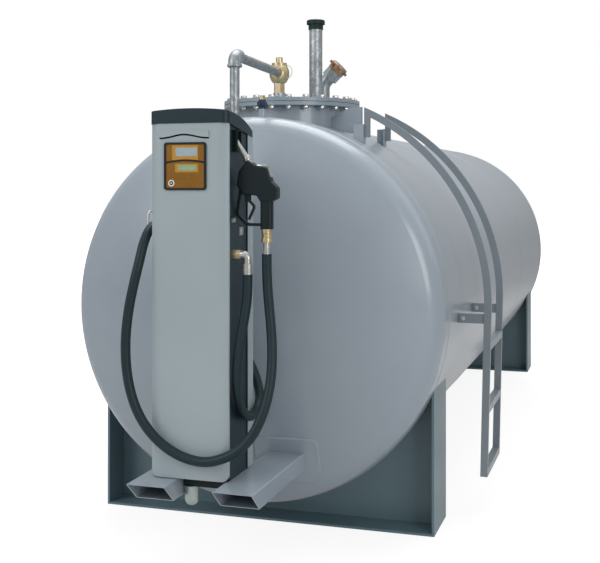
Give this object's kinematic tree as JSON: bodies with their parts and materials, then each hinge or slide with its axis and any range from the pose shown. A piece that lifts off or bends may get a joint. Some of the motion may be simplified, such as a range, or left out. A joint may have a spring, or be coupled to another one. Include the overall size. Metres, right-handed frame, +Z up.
{
  "type": "horizontal steel storage tank",
  "caption": "Horizontal steel storage tank on saddles, with a bolted manhole, vent and fill pipes, a side ladder, and a dispenser column with hose and nozzle on its front end.",
  "frame": {"origin": "on the ground under the tank's axis, in the middle of the front saddle's base plate", "axes": "+Y along the tank to its rear end, +Z up, +X towards the ladder"},
  "size_m": [1.7409, 5.4581, 2.184],
  "materials": {
    "tank_paint": "satin silver-grey paint",
    "saddle_paint": "satin dark blue-grey paint",
    "cover_paint": "satin blue-grey paint",
    "seal_rubber": "matt black rubber",
    "galvanised_steel": "dull zinc coat",
    "vent_plastic": "matt green-black plastic",
    "brass": "cast and turned brass",
    "blue_paint": "gloss navy paint",
    "ladder_paint": "satin grey paint",
    "column_paint": "satin silver coat",
    "black_plastic": "matt black plastic",
    "hood_plastic": "satin dark plastic",
    "display_plastic": "gloss brown face",
    "cast_aluminium": "cast aluminium",
    "white_coating": "white powder coat",
    "plated_steel": "bright zinc plate",
    "hose_rubber": "matt black rubber"
  },
  "bodies": {
    "tank": {"bracket_doublers": "tank_paint", "bracket_left_tube": "tank_paint", "bracket_right_tube": "tank_paint", "delivery_hose": "hose_rubber", "dispenser_back_panel": "column_paint", "dispenser_base": "black_plastic", "dispenser_bay_panel": "hood_plastic", "dispenser_front_panel": "column_paint", "dispenser_hood": "hood_plastic", "dispenser_left_panel": "column_paint", "display_bezel": "black_plastic", "display_panel": "display_plastic", "fill_branch": "galvanised_steel", "fill_cap": "brass", "filter_bowl": "cast_aluminium", "front_dished_end": "tank_paint", "front_flap": "column_paint", "hose_hook": "white_coating", "ladder_far_rail": "ladder_paint", "ladder_near_rail": "ladder_paint", "ladder_neck_plate": "tank_paint", "ladder_rungs": "ladder_paint", "ladder_shell_brackets": "tank_paint", "ladder_standoffs": "ladder_paint", "manhole_cover": "cover_paint", "manhole_flange": "cover_paint", "manhole_gasket": "seal_rubber", "manhole_neck": "tank_paint", "nozzle_body": "black_plastic", "nozzle_guard": "black_plastic", "nozzle_hose_tail": "plated_steel", "nozzle_pocket": "black_plastic", "nozzle_spout": "plated_steel", "nozzle_swivel": "brass", "outlet_elbow": "plated_steel", "outlet_ferrule": "plated_steel", "outlet_nut": "brass", "rear_dished_end": "tank_paint", "saddle_bases": "saddle_paint", "saddle_flanges": "saddle_paint", "saddle_webs": "saddle_paint", "shell_front_course": "tank_paint", "shell_middle_course": "tank_paint", "shell_rear_course": "tank_paint", "suction_elbows": "galvanised_steel", "suction_pipe": "galvanised_steel", "suction_riser": "galvanised_steel", "suction_socket": "galvanised_steel", "suction_valve": "brass", "test_cap": "brass", "test_stub": "tank_paint", "test_valve": "blue_paint", "vent_cap": "vent_plastic", "vent_pipe": "galvanised_steel"},
    "trigger": {"nozzle_lever": "black_plastic"},
    "test_handle": {"test_lever": "blue_paint"}
  },
  "joints": [
    {"name": "nozzle_lever_pin", "type": "hinge", "parent": "tank", "child": "trigger", "pos_m": [0.172, -0.78, 1.373], "axis": [0, -1, 0], "range_deg": [0, 20], "stiffness_Nm_per_rad": 3},
    {"name": "test_valve_stem", "type": "hinge", "parent": "tank", "child": "test_handle", "pos_m": [0.012, -0.205, 1.766], "axis": [0, -1, 0], "range_deg": [0, 90]}
  ]
}
